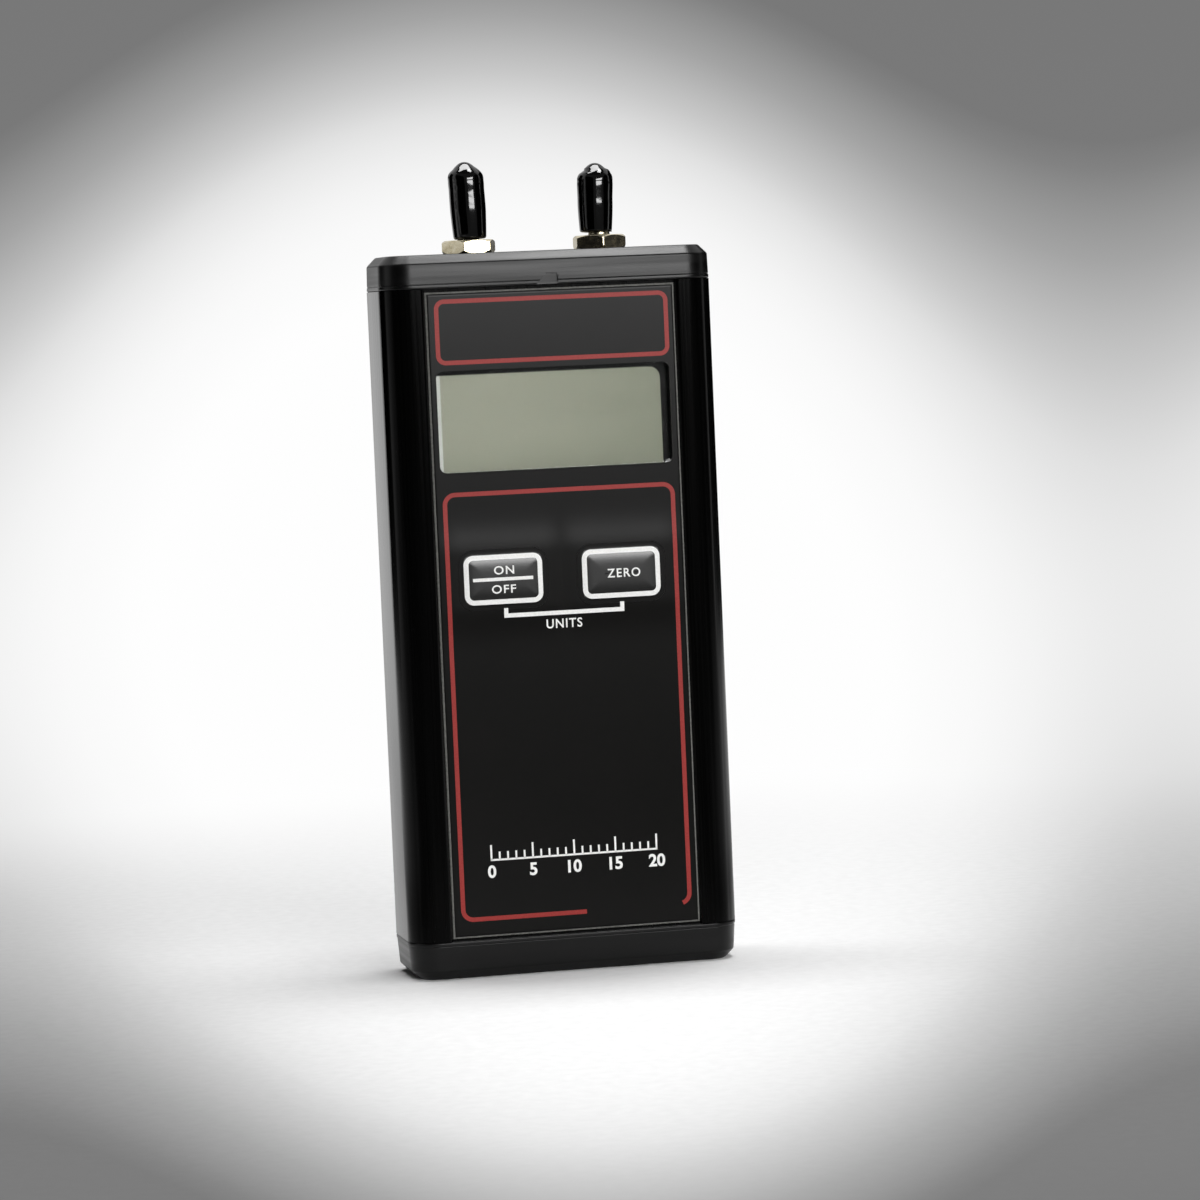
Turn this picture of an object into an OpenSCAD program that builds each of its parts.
// Handheld digital manometer: an extruded aluminium case with two end caps, a front overlay
// with a display window and two keys, and two capped hose fittings on top.
// X runs to the right, Y runs to the back, Z runs up. The origin is the middle of the base.

/* [Case] */
// Width of the case across the two rails
body_w = 75.8; // [72:0.2:90]
// Depth of the case from front to back
body_d = 27; // [26:0.5:34]
// Length of the aluminium extrusion
case_len = 145.6; // [142:0.2:170]
// Radius of the four upright corners
corner_r = 6.75; // [5:0.25:7.5]
// Thickness of the side walls and the back wall
wall_t = 2; // [1.6:0.1:2.4]
// Thickness of the wall behind the front channel
front_wall_t = 1.6; // [1.4:0.1:2]
// Depth of the channel that the overlay lies in
channel_depth = 1.2; // [0.9:0.1:1.4]
// Radius of the inside corners
inner_corner_r = 4.5; // [2:0.25:5]

/* [End caps] */
// Height of the top cap
top_cap_h = 7.7; // [6.5:0.1:10]
// Height of the bottom cap
bottom_cap_h = 8.7; // [7.5:0.1:12]
// How far the top cap's sides lean in below its chamfer
top_cap_draft = 0.2; // [0:0.05:0.6]
// How far the bottom cap's sides lean in above its chamfer
bottom_cap_draft = 0.6; // [0:0.05:0.8]
// Width of the chamfer round the outer end of each cap
cap_chamfer = 2; // [1:0.1:2.4]
// Thickness of each cap's end wall
cap_roof_t = 3; // [2.4:0.1:4]
// Depth of the plug that locates each cap in the case
plug_depth = 3; // [2:0.5:5]
// Thickness of the plug's wall
plug_wall = 1.6; // [1.2:0.1:2]
// Place of the small notch in the top cap's lower front edge, from the middle plane
notch_x = -1.6; // [-6:0.1:6]
// Width of that notch
notch_w = 6.2; // [4:0.2:9]
// Height of that notch
notch_h = 2.4; // [1.4:0.1:4]
// Depth of that notch
notch_depth = 0.6; // [0.3:0.1:1]
// Width of the seal between each cap and the case
seal_w = 0.9; // [0.7:0.05:1]
// Thickness of that seal
seal_t = 0.8; // [0.5:0.1:1.2]

/* [Screws] */
// Distance of each cap screw from the case's nearer side
screw_inset = 6.4; // [6:0.1:7]
// Distance of the cap screws behind the middle of the case
screw_y = 2; // [1:0.25:4]
// Radius of a screw's head
screw_head_r = 2.6; // [2.2:0.1:2.8]
// Height of a screw's head
screw_head_h = 1.7; // [1.2:0.1:2]
// Radius of a screw's shank
screw_r = 1.5; // [1.25:0.05:1.6]
// Length of a screw below its head
screw_len = 14; // [11:0.5:20]
// Wall round the screw hole in the extrusion
screw_port_wall = 1.5; // [1.2:0.1:1.8]
// Width of a screw's cross recess
recess_w = 0.7; // [0.5:0.05:0.9]
// Depth of a screw's cross recess
recess_depth = 1; // [0.6:0.1:1.1]

/* [Overlay] */
// Width of the rail on each side of the channel
rail_w = 9.35; // [8:0.05:10]
// Thickness of the overlay
label_t = 0.5; // [0.3:0.05:0.7]
// Gap between the overlay and the bottom cap
label_gap_low = 0.5; // [0.2:0.1:1.5]
// Gap between the overlay and the top cap
label_gap_high = 0.7; // [0.2:0.1:1.5]
// Width of the overlay beside the display window
window_side = 1.75; // [1:0.05:4]
// Height of the display window
window_h = 22.6; // [18:0.1:26]
// Radius of the window's corners
window_r = 1.6; // [0.6:0.1:3]
// Distance from the overlay's upper edge down to the window
window_drop = 17.6; // [15:0.1:20]

/* [Keys] */
// Distance between the two keys
key_between = 6.8; // [4:0.1:10]
// Distance from a key to the overlay's nearer side
key_side = 4.8; // [3:0.1:7]
// Distance from the overlay's upper edge down to the keys' middle
key_drop = 64.4; // [60:0.1:66]
// Height of a key's flat top
key_top_h = 11.4; // [9:0.1:14]
// Radius of the flat top's corners
key_top_r = 2.3; // [1:0.1:3.5]
// Width of the slope round a key's flat top
key_slope = 1; // [0.5:0.1:1.4]
// Height of a key above the overlay
key_proud = 0.7; // [0.5:0.1:1.2]
// How far a key travels
key_travel = 0.5; // [0.3:0.05:0.6]
// Radius of a key's stem
key_stem_r = 2; // [1.5:0.1:2.5]
// Radius of the collar that holds a key in
collar_r = 3.4; // [2.8:0.1:4]
// Thickness of that collar
collar_t = 0.8; // [0.6:0.1:1]

/* [Key switches] */
// Width of a key switch's body
switch_w = 6.4; // [5.8:0.1:8]
// Thickness of a key switch's base
switch_base_t = 0.8; // [0.5:0.1:1]
// Thickness of the lip round a switch's plunger
switch_lip_t = 0.4; // [0.3:0.05:0.6]
// Radius of a switch's plunger
plunger_r = 1.7; // [1.2:0.1:1.9]
// Thickness of the flange on a plunger
plunger_flange_t = 0.6; // [0.4:0.1:0.8]
// Height of a snap dome
dome_h = 0.6; // [0.4:0.05:0.6]
// Thickness of a snap dome
dome_t = 0.12; // [0.08:0.01:0.2]

/* [Display] */
// Thickness of the clear window
lens_t = 0.8; // [0.5:0.1:1]
// Width of the window's lip behind the wall
lens_lip = 2; // [1:0.1:2]
// How far the display glass reaches past the window's sides
lcd_lip = 1.55; // [1:0.05:1.8]
// Height of the display glass above and below the window
lcd_margin = 2.2; // [1.5:0.1:3.5]
// Thickness of the display glass
lcd_t = 2.2; // [1.8:0.1:2.6]
// Thickness of the frame round the display glass
bezel_t = 1.4; // [1:0.1:2]
// Height of the rubber contact strips behind the glass
zebra_h = 1.6; // [1.2:0.1:2.2]
// Width of a contact strip
zebra_w = 2.4; // [1.8:0.1:3]
// Distance of a contact strip's ends from the glass's sides
zebra_inset = 3.2; // [1:0.1:6]

/* [Circuit board] */
// Room for the leads between the battery's connector and the circuit board
lead_room = 13.4; // [11.5:0.1:16]
// Gap between the board's upper edge and the top cap's plug
board_top_gap = 3; // [1:0.5:6]
// Thickness of the circuit board
board_t = 1.6; // [1.2:0.1:2]
// How far the card slots' ribs stand in from the side walls
rib_w = 2; // [1.5:0.1:2.5]
// Thickness of a card slot's rib
rib_t = 1; // [0.8:0.1:1.2]

/* [Fittings] */
// Distance from each hose fitting to the nearer screw
port_to_screw = 16.4; // [14:0.1:18]
// Distance of the hose fittings behind the middle of the case
port_y = 2; // [0:0.25:2.5]
// Size across the flats of a fitting's hexagon
hex_af = 11.11; // [10:0.01:12]
// Height of a fitting's hexagon
hex_h = 3.1; // [2.4:0.1:5]
// Turn of the left fitting's hexagon
left_hex_turn = 9; // [0:1:60]
// Turn of the right fitting's hexagon
right_hex_turn = 26; // [0:1:60]
// Radius of a fitting's shank through the cap
shank_r = 4; // [3.6:0.05:4.2]
// Radius of a fitting's neck
neck_r = 2.4; // [2:0.1:2.6]
// Height of a fitting's neck
neck_h = 1.8; // [1:0.1:3]
// Radius of a barb's edge
barb_r = 2.75; // [2.5:0.05:3]
// Radius between the barbs
barb_root_r = 2.1; // [1.8:0.05:2.3]
// Height of one barb
barb_h = 3.3; // [2.5:0.1:4]
// Number of barbs
barb_count = 3; // [2:1:3]
// Radius of the air way through a fitting
airway_r = 0.7; // [0.5:0.05:0.8]
// Radius of the tail that takes the inner tube
tail_r = 1.3; // [1.1:0.05:1.6]
// Length of that tail below the lock nut
tail_len = 6.5; // [5:0.5:8]
// Height of the lock nut
nut_h = 2.4; // [2:0.1:3]
// Radius of the sealing ring's cord
oring_cord_r = 0.55; // [0.4:0.05:0.6]

/* [Port caps] */
// Outer radius of a port cap
cap_r = 4.1; // [3.9:0.05:4.6]
// Length of the left port cap
left_cap_len = 17.35; // [15:0.05:20]
// Length of the right port cap
right_cap_len = 15.65; // [14.6:0.05:20]
// Gap between the left port cap and its hexagon
left_cap_gap = 0.2; // [0.1:0.05:1]
// Gap between the right port cap and its hexagon
right_cap_gap = 0.65; // [0.3:0.05:1]
// Height of a port cap's rounded tip
cap_tip_h = 3.1; // [2.5:0.1:5]
// Thickness of a port cap's end wall
cap_end_t = 1.5; // [1:0.1:2]
// Radius of a port cap's lower lip
cap_lip_r = 0.6; // [0.3:0.05:0.9]

/* [Sensor and tubes] */
// Width of the pressure sensor
sensor_w = 17; // [15:0.5:20]
// Height of the pressure sensor
sensor_h = 14; // [12:0.5:18]
// Distance of each sensor port from the middle plane
sensor_port_x = 5; // [4:0.25:6]
// Length of a sensor port
sensor_port_len = 5; // [4:0.5:6]
// Wall of the sensor behind its ports
sensor_wall = 3.6; // [3:0.1:4.5]
// Width of the sensor's mounting feet
sensor_foot_w = 3; // [2:0.5:4]
// Thickness of the sensor's mounting feet
sensor_foot_t = 1.4; // [1:0.1:2]
// Outer radius of the inner tubes
tube_r = 2.2; // [2:0.1:2.4]
// Radius that the inner tubes bend to
tube_bend_r = 8; // [6.5:0.5:9]

/* [Battery] */
// Width of the battery
battery_w = 26.5; // [25:0.1:26.5]
// Thickness of the foam before and behind the battery
pad_t = 2.35; // [2.2:0.05:3]
// Height of the battery's can
battery_h = 46.5; // [44:0.1:46.5]
// Radius of the battery can's corners
battery_r = 2; // [1:0.1:3]
// Distance between the battery's two terminals
terminal_pitch = 12.7; // [12:0.1:13]
// Height of a terminal
terminal_h = 2.2; // [1.8:0.1:2.6]
// Radius of the small terminal
small_terminal_r = 2.8; // [2.5:0.1:3]
// Radius of the large terminal
large_terminal_r = 4; // [3.6:0.1:4.4]
// Thickness of the connector's skin over the terminals
connector_skin = 1.8; // [1:0.1:2.4]
// Wall of the connector round the large terminal
connector_wall = 2; // [1.5:0.1:2.5]
// Thickness of the cushion under the battery
cushion_t = 3; // [2:0.1:3.5]
// Width of the foam pads before and behind the battery
pad_w = 20; // [12:1:24]
// Length of the foam pads
pad_len = 32; // [20:1:36]
// Distance of the foam pads above the bottom cap's plug
pad_gap = 2; // [1:0.5:4]
// Radius of a lead
lead_r = 0.65; // [0.5:0.05:0.8]
// Distance between the two leads
lead_pitch = 6; // [4:0.5:8]
// Radius that the leads bend to
lead_bend_r = 4; // [2.5:0.5:5]
// How far the leads reach up behind the circuit board
lead_reach = 4; // [2:0.5:6]

/* [Clearances] */
// Gap between a sliding piece and its guide
running_gap = 0.05; // [0.02:0.01:0.1]
// Gap between pieces that are fitted together
fit_gap = 0.1; // [0.05:0.01:0.15]
// Gap between pieces that pass each other freely
free_gap = 0.3; // [0.2:0.05:0.4]
// Gap beside a key and beside the overlay
edge_gap = 0.15; // [0.1:0.01:0.25]

/* [Hidden] */
$fn = 64;

// How far every cut runs past the surface that it cuts
overrun = 1;

// Faces and walls of the case
front_y = -body_d / 2;
back_y = body_d / 2;
channel_w = body_w - 2 * rail_w;
label_w = channel_w - 2 * edge_gap;
floor_y = front_y + channel_depth;
inner_front_y = floor_y + front_wall_t;
inner_back_y = back_y - wall_t;
inner_half_w = body_w / 2 - wall_t;
inner_mid_y = (inner_front_y + inner_back_y) / 2;
case_z0 = bottom_cap_h;
case_z1 = case_z0 + case_len;
total_h = case_z1 + top_cap_h;

// Cap plugs, which pass between the two screw ports
screw_x = body_w / 2 - screw_inset;
screw_port_r = screw_r + fit_gap + screw_port_wall;
plug_half_w = screw_x - screw_port_r - free_gap;
plug_front_y = inner_front_y + edge_gap;
plug_back_y = inner_back_y - edge_gap;
roof_z = total_h - cap_roof_t;
screw_head_drop = fit_gap;

// Seals, which follow the wall and pass behind the channel
seal_front_y = floor_y + (front_wall_t - seal_w) / 2;
seal_back_y = back_y - (wall_t - seal_w) / 2;
seal_half_w = body_w / 2 - (wall_t - seal_w) / 2;
seal_r = corner_r - (wall_t - seal_w) / 2;

// Overlay, window and keys
label_z0 = case_z0 + label_gap_low;
label_z1 = case_z1 - label_gap_high;
label_front_y = floor_y - label_t;
window_w = label_w - 2 * window_side;
window_z = label_z1 - window_drop - window_h / 2;
key_z = label_z1 - key_drop;
key_base_w = (label_w - 2 * key_side - key_between) / 2;
key_pitch = key_base_w + key_between;
key_base_h = key_top_h + 2 * key_slope;
key_base_r = key_top_r + key_slope;
key_pocket_depth = key_travel + free_gap;
collar_y0 = inner_front_y + free_gap - fit_gap;
collar_y1 = collar_y0 + collar_t;

// Battery and its connector
battery_z0 = cap_roof_t + cushion_t;
battery_d = inner_back_y - inner_front_y - 2 * pad_t;
battery_z1 = battery_z0 + battery_h;
connector_z0 = battery_z1 + fit_gap;
connector_h = terminal_h + connector_skin;
connector_z1 = connector_z0 + connector_h;
connector_d = 2 * (large_terminal_r + connector_wall);

// Display stack and circuit board
lens_w = window_w + 2 * lens_lip;
lens_h = window_h + 2 * lens_lip;
lcd_w = window_w + 2 * lcd_lip;
lcd_h = window_h + 2 * lcd_margin;
zebra_len = lcd_w - 2 * zebra_inset;
lcd_y0 = inner_front_y + lens_t + fit_gap;
lcd_y1 = lcd_y0 + lcd_t;
board_y0 = lcd_y1 + zebra_h;
board_y1 = board_y0 + board_t;
board_z0 = connector_z1 + lead_room;
board_z1 = case_z1 - plug_depth - board_top_gap;
board_half_w = inner_half_w - free_gap;

// Key switches
switch_y0 = collar_y1 + key_travel + free_gap;
switch_base_y = board_y0 - switch_base_t;
dome_y = switch_base_y - dome_h;
flange_y0 = dome_y - plunger_flange_t;
dome_foot_r = plunger_r + 2 * free_gap;
switch_well_r = dome_foot_r + fit_gap;
dome_ball_r = (pow(dome_foot_r, 2) + pow(dome_h, 2)) / (2 * dome_h);
switch_leg_w = 0.8;
switch_leg_y = 2.1;

// Fittings and their seals
hex_corner_r = hex_af / 2 / cos(30);
shank_hole_r = shank_r + fit_gap;
oring_r = shank_r + running_gap + oring_cord_r;
oring_well_r = oring_r + oring_cord_r + fit_gap;
nut_z1 = roof_z - fit_gap;
nut_z0 = nut_z1 - nut_h;
tail_z0 = nut_z0 - tail_len;
barb_z0 = total_h + hex_h + neck_h;
barb_z1 = barb_z0 + barb_count * barb_h;

// Port caps: steps round the lip and the tip, and how pointed the tip is (1 is a half ellipse)
cap_lip_steps = 4;
cap_tip_steps = 8;
cap_tip_power = 1.1;

// Inner tubes and pressure sensor
port_x = screw_x - port_to_screw;
tube_bore_r = tail_r + fit_gap;
tube_shift = port_x - sensor_port_x;
tube_sides = 20;
bend_steps = 6;
tube_bend_deg = acos(1 - tube_shift / (2 * tube_bend_r));
tube_bend_z1 = tail_z0 - fit_gap;
tube_bend_z0 = tube_bend_z1 - 2 * tube_bend_r * sin(tube_bend_deg);
sensor_z1 = tube_bend_z0 - fit_gap - sensor_port_len;
sensor_z0 = sensor_z1 - sensor_h;
sensor_y1 = port_y + sensor_wall;

// Foam pads, and the leads from the connector to the board
pad_z0 = case_z0 + plug_depth + pad_gap;
lead_y1 = board_y1 + lead_r + running_gap;
lead_shift = inner_mid_y - lead_y1;
lead_bend_deg = acos(1 - lead_shift / (2 * lead_bend_r));
lead_z1 = board_z0 + lead_reach;
lead_bend_z1 = lead_z1 - lead_r;
lead_bend_z0 = lead_bend_z1 - 2 * lead_bend_r * sin(lead_bend_deg);
lead_sides = 8;

// Parts on the back of the circuit board. Sizes are width, height and thickness. Places are
// shares of the board's half width and of the height between its lower edge and the sensor.
board_rise = sensor_z0 - board_z0;
sensor_mid_z = (sensor_z0 + sensor_z1) / 2;
mcu_size = [14, 14, 1.6];
mcu_side_share = -0.37;
mcu_rise_share = 0.4;
mcu_pin_count = 11;
adc_size = [10.3, 7.5, 2.3];
adc_side_share = 0.46;
adc_rise_share = 0.8;
adc_pin_count = 4;
crystal_size = [4.6, 11, 3.6];
crystal_r = 2.1;
crystal_rise_share = 0.5;
capacitor_r = 3.1;
capacitor_h = 7;
capacitor_side_share = 0.53;
capacitor_rise_share = 0.2;
trimmer_size = [6.8, 6.8, 4.6];
trimmer_side_share = 0.62;
trimmer_screw_r = 1.3;
resistor_size = [2, 1.25, 0.6];
resistor_rows = 2;
resistor_columns = 4;
resistor_pitch = 3.2;
resistor_side_share = 0.46;
resistor_rise_share = 0.5;
pin_w = 0.5;
pin_out = 1.2;
pin_t = 0.4;
crystal_x = mcu_side_share * board_half_w + (mcu_size[0] + crystal_size[0]) / 2 + pin_out
    + 2 * free_gap;

// A flat rounded rectangle, its middle at the origin
module rounded_rect(w, h, r) {
    square([w - 2 * r, h], center = true);
    square([w, h - 2 * r], center = true);
    for (sx = [-1, 1], sy = [-1, 1])
        translate([sx * (w / 2 - r), sy * (h / 2 - r)]) circle(r = r);
}

// A flat rounded rectangle between two corners
module rounded_span(x_half, y0, y1, r) {
    translate([0, (y0 + y1) / 2]) rounded_rect(2 * x_half, y1 - y0, r);
}

// A rounded block whose sides all lean in from its base to its top
module leaning_block(w, d, r, inset, rise) {
    x = w / 2 - r;
    y = d / 2 - r;
    for (sx = [-1, 1], sy = [-1, 1])
        translate([sx * x, sy * y]) cylinder(r1 = r, r2 = r - inset, h = rise);
    rotate([90, 0, 0]) linear_extrude(2 * y, center = true)
        polygon([[-w / 2, 0], [w / 2, 0], [w / 2 - inset, rise], [inset - w / 2, rise]]);
    rotate([90, 0, 90]) linear_extrude(2 * x, center = true)
        polygon([[-d / 2, 0], [d / 2, 0], [d / 2 - inset, rise], [inset - d / 2, rise]]);
}

// Turns a child so that its top faces the front, at a place on the front
module face_front(x, y, z) {
    translate([x, y, z]) rotate([90, 0, 0]) children();
}

// Turns a child so that its top faces the back, at a place on the board
module face_back(x, y, z) {
    translate([x, y, z]) rotate([-90, 0, 0]) children();
}

// A box given by its lowest corner's and its highest corner's places
module span_box(low, high) {
    translate(low) cube(high - low);
}

// A path that runs down, bends towards +X, bends back and runs down again: [x, z, tilt]
function double_bend(shift, bend_r, bend_deg, z_top, z_high, z_low, z_bottom) = concat(
    [[0, z_top, 0]],
    [for (i = [0 : bend_steps]) let (a = bend_deg * i / bend_steps)
        [bend_r * (1 - cos(a)), z_high - bend_r * sin(a), a]],
    [for (i = [bend_steps - 1 : -1 : 0]) let (a = bend_deg * i / bend_steps)
        [shift - bend_r * (1 - cos(a)), z_low + bend_r * sin(a), a]],
    [[shift, z_bottom, 0]]);

// The rings of points round a path, each square to it
function rings_round(path, r, sides) = [
    for (p = path, k = [0 : sides - 1]) let (t = 360 * k / sides)
        [p[0] + r * sin(t) * cos(p[2]), -r * cos(t), p[1] + r * sin(t) * sin(p[2])]];

// The four-sided faces between the rings, which start at a given point
function ring_walls(rings, sides, start, inward) = [
    for (i = [0 : rings - 2], k = [0 : sides - 1])
        let (a = start + i * sides + k, b = start + i * sides + (k + 1) % sides)
        inward ? [b, b + sides, a + sides, a] : [a, a + sides, b + sides, b]];

// A rod along a path
module bent_rod(path, r, sides) {
    rings = len(path);
    polyhedron(rings_round(path, r, sides), concat(
        [[for (k = [0 : sides - 1]) k]],
        ring_walls(rings, sides, 0, false),
        [[for (k = [sides - 1 : -1 : 0]) (rings - 1) * sides + k]]));
}

// A tube along a path
module bent_tube(path, r, bore, sides) {
    rings = len(path);
    inside = rings * sides;
    last = (rings - 1) * sides;
    polyhedron(concat(rings_round(path, r, sides), rings_round(path, bore, sides)), concat(
        ring_walls(rings, sides, 0, false),
        ring_walls(rings, sides, inside, true),
        [for (k = [0 : sides - 1]) let (n = (k + 1) % sides)
            [k, n, inside + n, inside + k]],
        [for (k = [0 : sides - 1]) let (n = (k + 1) % sides)
            [last + n, last + k, inside + last + k, inside + last + n]]));
}

// The aluminium case, one section along its whole length
module case_section() {
    difference() {
        rounded_rect(body_w, body_d, corner_r);
        translate([-channel_w / 2, front_y - overrun]) square([channel_w, channel_depth + overrun]);
        rounded_span(inner_half_w, inner_front_y, inner_back_y, inner_corner_r);
    }
    for (s = [-1, 1]) {
        difference() {
            union() {
                translate([s * screw_x, screw_y]) circle(r = screw_port_r);
                translate([s > 0 ? screw_x : -inner_half_w - wall_t / 2, screw_y - screw_r])
                    square([inner_half_w + wall_t / 2 - screw_x, 2 * screw_r]);
            }
            translate([s * screw_x, screw_y]) circle(r = screw_r + fit_gap);
        }
        for (y = [board_y0 - fit_gap - rib_t, board_y1 + fit_gap])
            translate([s > 0 ? inner_half_w - rib_w : -inner_half_w - wall_t / 2, y])
                square([rib_w + wall_t / 2, rib_t]);
    }
}

module case_extrusion() {
    color("#17181a") difference() {
        translate([0, 0, case_z0]) linear_extrude(case_len) case_section();
        face_front(0, inner_front_y + overrun, window_z)
            linear_extrude(front_wall_t + 2 * overrun) rounded_rect(window_w, window_h, window_r);
        for (s = [-1, 1]) {
            face_front(s * key_pitch / 2, floor_y + key_pocket_depth, key_z)
                linear_extrude(key_pocket_depth + overrun)
                    rounded_rect(key_base_w + 2 * edge_gap, key_base_h + 2 * edge_gap, key_base_r);
            face_front(s * key_pitch / 2, inner_front_y + overrun, key_z)
                cylinder(r = key_stem_r + running_gap, h = front_wall_t + 2 * overrun);
        }
    }
}

// A cap as it stands on the case's upper end, with its joint face at z = 0
module end_cap(cap_h, draft) {
    lean_h = cap_h - cap_chamfer;
    difference() {
        union() {
            leaning_block(body_w, body_d, corner_r, draft, lean_h);
            translate([0, 0, lean_h]) leaning_block(body_w - 2 * draft, body_d - 2 * draft,
                                                    corner_r - draft, cap_chamfer, cap_chamfer);
            translate([0, 0, -plug_depth]) linear_extrude(plug_depth + overrun)
                rounded_span(plug_half_w, plug_front_y, plug_back_y, inner_corner_r);
        }
        translate([0, 0, -plug_depth - overrun])
            linear_extrude(plug_depth + overrun + cap_h - cap_roof_t)
                rounded_span(plug_half_w - plug_wall, plug_front_y + plug_wall,
                             plug_back_y - plug_wall, inner_corner_r / 2);
        linear_extrude(2 * seal_t, center = true) seal_section();
        for (s = [-1, 1]) translate([s * screw_x, screw_y]) {
            translate([0, 0, -overrun])
                cylinder(r = screw_r + fit_gap, h = cap_h + 2 * overrun);
            translate([0, 0, cap_h - screw_head_h - screw_head_drop])
                cylinder(r = screw_head_r + fit_gap, h = screw_head_h + overrun);
        }
    }
}

module seal_section() {
    difference() {
        rounded_span(seal_half_w, seal_front_y, seal_back_y, seal_r);
        rounded_span(seal_half_w - seal_w, seal_front_y + seal_w, seal_back_y - seal_w,
                     seal_r - seal_w);
    }
}

module top_cap() {
    color("#202123") difference() {
        translate([0, 0, case_z1]) end_cap(top_cap_h, top_cap_draft);
        for (s = [-1, 1]) translate([s * port_x, port_y]) {
            translate([0, 0, roof_z - overrun])
                cylinder(r = shank_hole_r, h = cap_roof_t + 2 * overrun);
            translate([0, 0, total_h - 2 * oring_cord_r])
                cylinder(r = oring_well_r, h = 2 * oring_cord_r + overrun);
        }
        translate([notch_x, front_y + notch_depth, case_z1]) rotate([90, 0, 0])
            linear_extrude(notch_depth + overrun)
                polygon([[-notch_w / 2, 0], [-notch_w / 2, -overrun], [notch_w / 2, -overrun],
                         [notch_w / 2, 0], [0, notch_h]]);
    }
}

module bottom_cap() {
    color("#202123") translate([0, 0, case_z0]) mirror([0, 0, 1])
        end_cap(bottom_cap_h, bottom_cap_draft);
}

module top_cap_seal() {
    color("#0c0c0c") translate([0, 0, case_z1]) linear_extrude(seal_t) seal_section();
}

module bottom_cap_seal() {
    color("#0c0c0c") translate([0, 0, case_z0 - seal_t]) linear_extrude(seal_t) seal_section();
}

// A cross-recessed screw that points down, with its head's top at z = 0
module screw() {
    difference() {
        union() {
            translate([0, 0, -screw_head_h]) cylinder(r = screw_head_r, h = screw_head_h);
            translate([0, 0, -screw_head_h - screw_len]) cylinder(r = screw_r, h = screw_len);
        }
        for (a = [0, 90]) rotate(a)
            translate([-screw_head_r / 2, -recess_w / 2, -recess_depth])
                cube([screw_head_r, recess_w, recess_depth + overrun]);
    }
}

module top_cap_screws() {
    color("#3a3b3d") for (s = [-1, 1])
        translate([s * screw_x, screw_y, total_h - screw_head_drop]) screw();
}

module bottom_cap_screws() {
    color("#3a3b3d") for (s = [-1, 1])
        translate([s * screw_x, screw_y, screw_head_drop]) mirror([0, 0, 1]) screw();
}

module front_overlay() {
    color("#2a2927") difference() {
        span_box([-label_w / 2, label_front_y, label_z0], [label_w / 2, floor_y, label_z1]);
        face_front(0, floor_y + overrun, window_z)
            linear_extrude(label_t + 2 * overrun) rounded_rect(window_w, window_h, window_r);
        for (s = [-1, 1]) face_front(s * key_pitch / 2, floor_y + overrun, key_z)
            linear_extrude(label_t + 2 * overrun)
                rounded_rect(key_base_w + 2 * edge_gap, key_base_h + 2 * edge_gap, key_base_r);
    }
}

module display_window() {
    color("#c8d0d0", 0.4)
        span_box([-lens_w / 2, inner_front_y, window_z - lens_h / 2],
                 [lens_w / 2, inner_front_y + lens_t, window_z + lens_h / 2]);
}

module lcd_glass() {
    color("#989b8b")
        span_box([-lcd_w / 2, lcd_y0, window_z - lcd_h / 2],
                 [lcd_w / 2, lcd_y1, window_z + lcd_h / 2]);
}

module lcd_bezel() {
    inner_w = lcd_w / 2 + fit_gap;
    inner_h = lcd_h / 2 + fit_gap;
    color("#111111") difference() {
        span_box([-inner_w - bezel_t, lcd_y0, window_z - inner_h - bezel_t],
                 [inner_w + bezel_t, board_y0, window_z + inner_h + bezel_t]);
        span_box([-inner_w, lcd_y0 - overrun, window_z - inner_h],
                 [inner_w, board_y0 + overrun, window_z + inner_h]);
    }
}

module lcd_contact_strips() {
    color("#c9768a") for (s = [-1, 1])
        translate([-zebra_len / 2, lcd_y1, window_z + s * (lcd_h - zebra_w) / 2 - zebra_w / 2])
            cube([zebra_len, zebra_h, zebra_w]);
}

module circuit_board() {
    color("#2c6b45")
        span_box([-board_half_w, board_y0, board_z0], [board_half_w, board_y1, board_z1]);
}

// A key: a pad with sloping edges on a stem that reaches through the wall
module key(side) {
    face_front(side * key_pitch / 2, floor_y, key_z) {
        linear_extrude(label_t) rounded_rect(key_base_w, key_base_h, key_base_r);
        translate([0, 0, label_t])
            leaning_block(key_base_w, key_base_h, key_base_r, key_slope, key_proud);
        translate([0, 0, floor_y - collar_y1]) cylinder(r = key_stem_r, h = collar_y1 - floor_y);
    }
}

module on_off_key() {
    color("#1d1c1b") key(-1);
}

module zero_key() {
    color("#1d1c1b") key(1);
}

// The collar behind the wall that keeps a key in
module collar(side) {
    face_back(side * key_pitch / 2, collar_y0, key_z) difference() {
        cylinder(r = collar_r, h = collar_t);
        translate([0, 0, -overrun]) cylinder(r = key_stem_r, h = collar_t + 2 * overrun);
    }
}

module on_off_collar() {
    color("#b9b5aa") collar(-1);
}

module zero_collar() {
    color("#b9b5aa") collar(1);
}

// A switch's plunger, which carries the key's push to the snap dome
module plunger(side) {
    face_back(side * key_pitch / 2, collar_y1, key_z) {
        cylinder(r = plunger_r, h = dome_y - collar_y1);
        translate([0, 0, flange_y0 - collar_y1])
            cylinder(r = plunger_r + free_gap, h = plunger_flange_t);
    }
}

module on_off_plunger() {
    color("#d8d4c8") plunger(-1);
}

module zero_plunger() {
    color("#d8d4c8") plunger(1);
}

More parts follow.
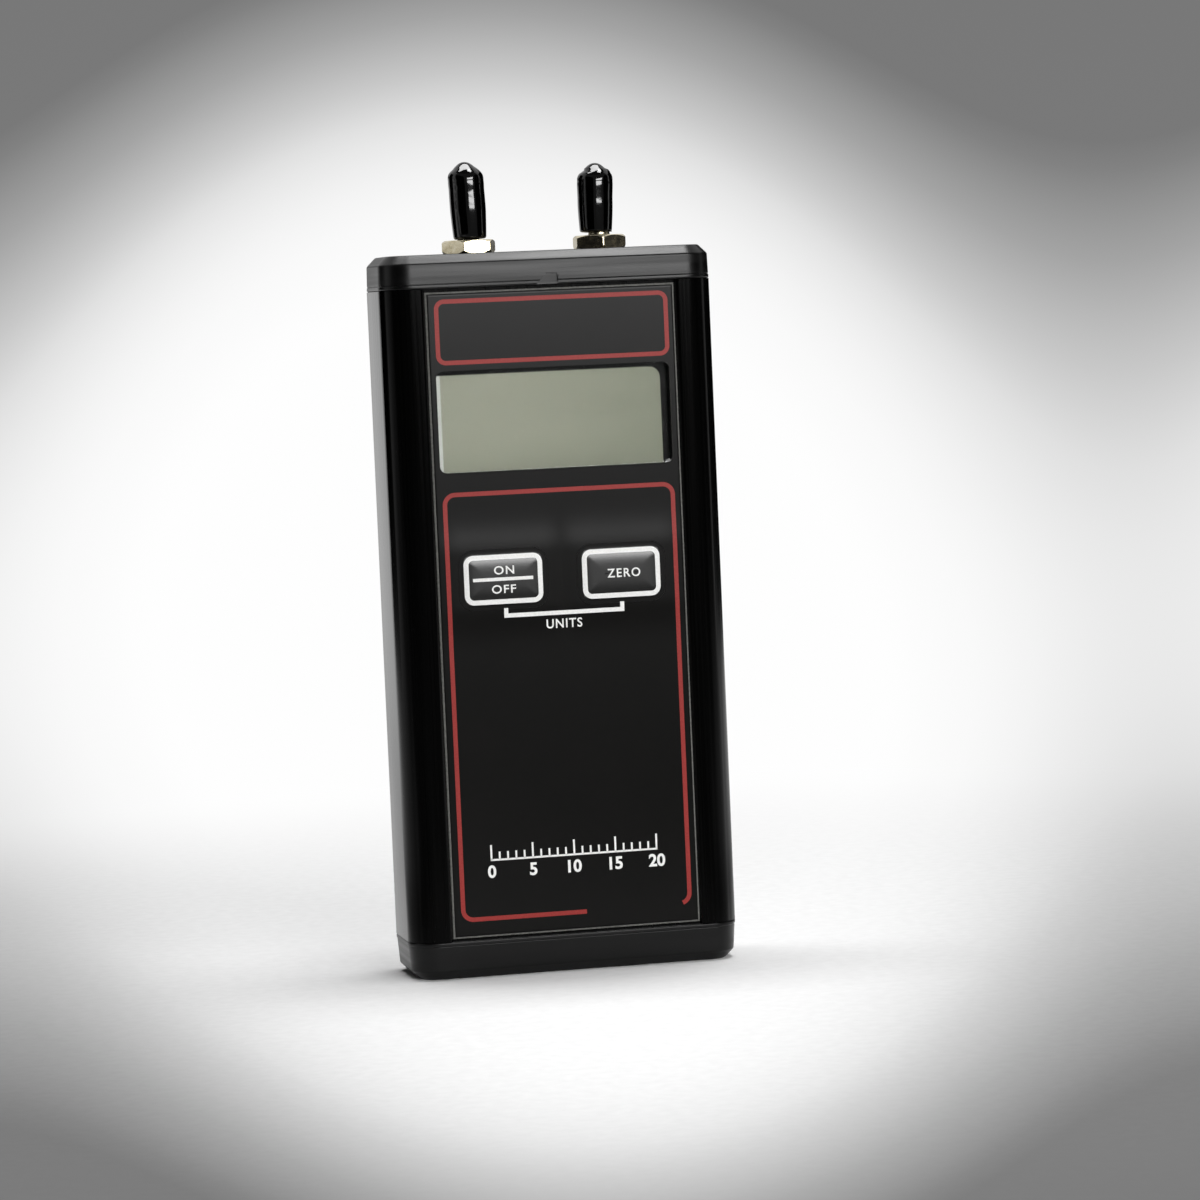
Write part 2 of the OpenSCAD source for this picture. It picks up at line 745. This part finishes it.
module switch_body(side) {
    face_back(side * key_pitch / 2, switch_y0, key_z) {
        difference() {
            translate([-switch_w / 2, -switch_w / 2]) cube([switch_w, switch_w, board_y0 - switch_y0]);
            translate([0, 0, -overrun]) cylinder(r = plunger_r + running_gap,
                                                 h = switch_lip_t + 2 * overrun);
            translate([0, 0, switch_lip_t])
                cylinder(r = switch_well_r, h = switch_base_y - switch_y0 - switch_lip_t);
        }
        for (sx = [-1, 1], sy = [-1, 1])
            translate([sx * (switch_w / 2 + switch_leg_w) - switch_leg_w,
                       sy * switch_leg_y - switch_leg_w / 2, board_y0 - switch_y0 - pin_t])
                cube([2 * switch_leg_w, switch_leg_w, pin_t]);
    }
}

module on_off_switch() {
    color("#26282b") switch_body(-1);
}

module zero_switch() {
    color("#26282b") switch_body(1);
}

// A snap dome: a thin cap cut from a hollow ball
module dome(side) {
    face_front(side * key_pitch / 2, switch_base_y, key_z) intersection() {
        difference() {
            translate([0, 0, dome_h - dome_ball_r]) sphere(r = dome_ball_r);
            translate([0, 0, dome_h - dome_ball_r]) sphere(r = dome_ball_r - dome_t);
        }
        cylinder(r = dome_foot_r + fit_gap / 2, h = dome_h + overrun);
    }
}

module on_off_dome() {
    color("#c8c4b8") dome(-1);
}

module zero_dome() {
    color("#c8c4b8") dome(1);
}

// A hose fitting: hexagon, neck and barbs above the cap, shank and tail below it
module fitting(x, turn) {
    barb_points = [for (i = [0 : barb_count - 1], k = [0, 1])
        [k == 0 ? barb_r : barb_root_r, barb_z0 + (i + k) * barb_h]];
    translate([x, port_y]) difference() {
        union() {
            translate([0, 0, total_h]) rotate(turn)
                cylinder(r = hex_corner_r, h = hex_h, $fn = 6);
            rotate_extrude() polygon(concat(
                [[0, tail_z0], [tail_r, tail_z0], [tail_r, nut_z0 - fit_gap],
                 [shank_r, nut_z0 - fit_gap], [shank_r, total_h + hex_h / 2],
                 [neck_r, total_h + hex_h / 2], [neck_r, barb_z0]],
                barb_points, [[0, barb_z1]]));
        }
        translate([0, 0, tail_z0 - overrun])
            cylinder(r = airway_r, h = barb_z1 - tail_z0 + 2 * overrun);
    }
}

module left_fitting() {
    color("#d8c9a0") fitting(-port_x, left_hex_turn);
}

module right_fitting() {
    color("#9c8f78") fitting(port_x, right_hex_turn);
}

module fitting_sealing_rings() {
    color("#0e0e0e") for (s = [-1, 1])
        translate([s * port_x, port_y, total_h - oring_cord_r])
            rotate_extrude() translate([oring_r, 0]) circle(r = oring_cord_r);
}

module fitting_lock_nuts() {
    color("#c0b184") for (s = [-1, 1]) translate([s * port_x, port_y, nut_z0]) difference() {
        cylinder(r = hex_corner_r, h = nut_h, $fn = 6);
        translate([0, 0, -overrun]) cylinder(r = shank_r + running_gap, h = nut_h + 2 * overrun);
    }
}

// A dipped cap: a tube with a rounded tip and a rolled lower lip, open below
module port_cap(x, len, gap) {
    z0 = total_h + hex_h + gap;
    z1 = z0 + len;
    lip = [for (i = [0 : cap_lip_steps]) let (a = 90 * i / cap_lip_steps)
        [cap_r - cap_lip_r * (1 - sin(a)), z0 + cap_lip_r * (1 - cos(a))]];
    tip = [for (i = [1 : cap_tip_steps]) let (a = 90 * i / cap_tip_steps)
        [cap_r * pow(cos(a), cap_tip_power), z1 - cap_tip_h * (1 - sin(a))]];
    translate([x, port_y]) difference() {
        rotate_extrude() polygon(concat([[0, z0]], lip, [[cap_r, z1 - cap_tip_h]], tip));
        translate([0, 0, z0 - overrun])
            cylinder(r = barb_r + fit_gap, h = len - cap_end_t + overrun);
    }
}

module left_port_cap() {
    color("#0b0b0b") port_cap(-port_x, left_cap_len, left_cap_gap);
}

module right_port_cap() {
    color("#0b0b0b") port_cap(port_x, right_cap_len, right_cap_gap);
}

module inner_tube() {
    bent_tube(double_bend(tube_shift, tube_bend_r, tube_bend_deg, nut_z0 - free_gap, tube_bend_z1,
                          tube_bend_z0, sensor_z1 + fit_gap), tube_r, tube_bore_r, tube_sides);
}

module left_inner_tube() {
    color("#dcd8cc", 0.8) translate([-port_x, port_y]) inner_tube();
}

module right_inner_tube() {
    color("#dcd8cc", 0.8) translate([port_x, port_y]) rotate(180) inner_tube();
}

module pressure_sensor() {
    color("#30343a") {
        span_box([-sensor_w / 2, board_y1, sensor_z0], [sensor_w / 2, sensor_y1, sensor_z1]);
        difference() {
            for (s = [-1, 1]) translate([s * sensor_port_x, port_y, sensor_z1 - overrun])
                cylinder(r = tail_r, h = sensor_port_len + overrun);
            for (s = [-1, 1]) translate([s * sensor_port_x, port_y, sensor_z1])
                cylinder(r = airway_r, h = sensor_port_len + overrun);
        }
        for (s = [-1, 1]) translate([s * sensor_w / 2 - sensor_foot_w / 2, board_y1,
                                     sensor_z0 + sensor_foot_w])
            cube([sensor_foot_w, sensor_foot_t, sensor_h - 2 * sensor_foot_w]);
    }
}

module battery() {
    color("#3c4a58") translate([0, inner_mid_y, battery_z0])
        linear_extrude(battery_h) rounded_rect(battery_w, battery_d, battery_r);
}

module battery_terminals() {
    color("#c9c9c4") translate([0, inner_mid_y, battery_z1]) {
        translate([-terminal_pitch / 2, 0]) cylinder(r = small_terminal_r, h = terminal_h);
        translate([terminal_pitch / 2, 0]) cylinder(r = large_terminal_r, h = terminal_h);
    }
}

module battery_connector() {
    color("#151515") translate([0, inner_mid_y, connector_z0]) difference() {
        linear_extrude(connector_h) rounded_rect(battery_w, connector_d, battery_r);
        translate([0, 0, -overrun])
            linear_extrude(connector_h - connector_skin + overrun) {
                translate([-terminal_pitch / 2, 0]) circle(r = small_terminal_r + fit_gap);
                translate([terminal_pitch / 2, 0]) circle(r = large_terminal_r + fit_gap);
            }
    }
}

module lead(side) {
    translate([side * lead_pitch / 2, lead_y1]) rotate(90)
        bent_rod(double_bend(lead_shift, lead_bend_r, lead_bend_deg, lead_z1, lead_bend_z1,
                             lead_bend_z0, connector_z1), lead_r, lead_sides);
}

module red_lead() {
    color("#b02020") lead(-1);
}

module black_lead() {
    color("#141414") lead(1);
}

module battery_foam_pads() {
    color("#4a4a4c") {
        span_box([-pad_w / 2, inner_front_y, pad_z0],
                 [pad_w / 2, inner_mid_y - battery_d / 2, pad_z0 + pad_len]);
        span_box([-pad_w / 2, inner_mid_y + battery_d / 2, pad_z0],
                 [pad_w / 2, inner_back_y, pad_z0 + pad_len]);
    }
}

module battery_cushion() {
    color("#4a4a4c") translate([0, inner_mid_y, cap_roof_t])
        linear_extrude(cushion_t) square([battery_w - 2 * battery_r, battery_d - 2 * battery_r],
                                         center = true);
}

// Puts a child on the board's back, at a share of the height below the sensor
module on_board(x, rise_share) {
    face_back(x, board_y1, board_z0 + rise_share * board_rise) children();
}

// A chip with a row of pins along two sides
module chip(size, pins) {
    pitch = size[1] / pins;
    translate([-size[0] / 2, -size[1] / 2]) cube(size);
    for (s = [-1, 1], i = [0 : pins - 1])
        translate([s * (size[0] + pin_out) / 2 - pin_out / 2 - running_gap / 2,
                   (i + 0.5) * pitch - size[1] / 2 - pin_w / 2, 0])
            cube([pin_out + running_gap, pin_w, pin_t]);
}

module microcontroller() {
    color("#222426") on_board(mcu_side_share * board_half_w, mcu_rise_share)
        chip(mcu_size, mcu_pin_count);
}

module converter_chip() {
    color("#222426") on_board(adc_side_share * board_half_w, adc_rise_share)
        chip(adc_size, adc_pin_count);
}

module crystal() {
    color("#c4c6c8") on_board(crystal_x, crystal_rise_share) linear_extrude(crystal_size[2])
        rounded_rect(crystal_size[0], crystal_size[1], crystal_r);
}

module capacitors() {
    color("#2b3f63") for (s = [-1, 1])
        on_board(capacitor_side_share * board_half_w + s * (capacitor_r + free_gap),
                 capacitor_rise_share)
            cylinder(r = capacitor_r, h = capacitor_h);
}

// Three trimmers: two on the left of the sensor, one above the other, and one on its right
module trimmers() {
    x = trimmer_side_share * board_half_w;
    step = trimmer_size[1] / 2 + free_gap;
    color("#2f59a8") for (p = [[-x, -step], [-x, step], [x, 0]])
        face_back(p[0], board_y1, sensor_mid_z + p[1]) difference() {
            translate([-trimmer_size[0] / 2, -trimmer_size[1] / 2]) cube(trimmer_size);
            translate([0, 0, trimmer_size[2] - pin_t])
                cylinder(r = trimmer_screw_r, h = pin_t + overrun);
        }
}

module chip_resistors() {
    left = -(resistor_columns - 1) * resistor_pitch / 2;
    low = -(resistor_rows - 1) * resistor_pitch / 2;
    color("#1c1c1e") on_board(resistor_side_share * board_half_w, resistor_rise_share)
        for (i = [0 : resistor_columns - 1], j = [0 : resistor_rows - 1])
            translate([left + i * resistor_pitch - resistor_size[0] / 2,
                       low + j * resistor_pitch - resistor_size[1] / 2])
                cube(resistor_size);
}

case_extrusion();
top_cap();
bottom_cap();
top_cap_seal();
bottom_cap_seal();
top_cap_screws();
bottom_cap_screws();
front_overlay();
display_window();
lcd_glass();
lcd_bezel();
lcd_contact_strips();
circuit_board();
on_off_key();
zero_key();
on_off_collar();
zero_collar();
on_off_plunger();
zero_plunger();
on_off_switch();
zero_switch();
on_off_dome();
zero_dome();
left_fitting();
right_fitting();
fitting_sealing_rings();
fitting_lock_nuts();
left_port_cap();
right_port_cap();
left_inner_tube();
right_inner_tube();
pressure_sensor();
battery();
battery_terminals();
battery_connector();
red_lead();
black_lead();
battery_foam_pads();
battery_cushion();
microcontroller();
converter_chip();
crystal();
capacitors();
trimmers();
chip_resistors();
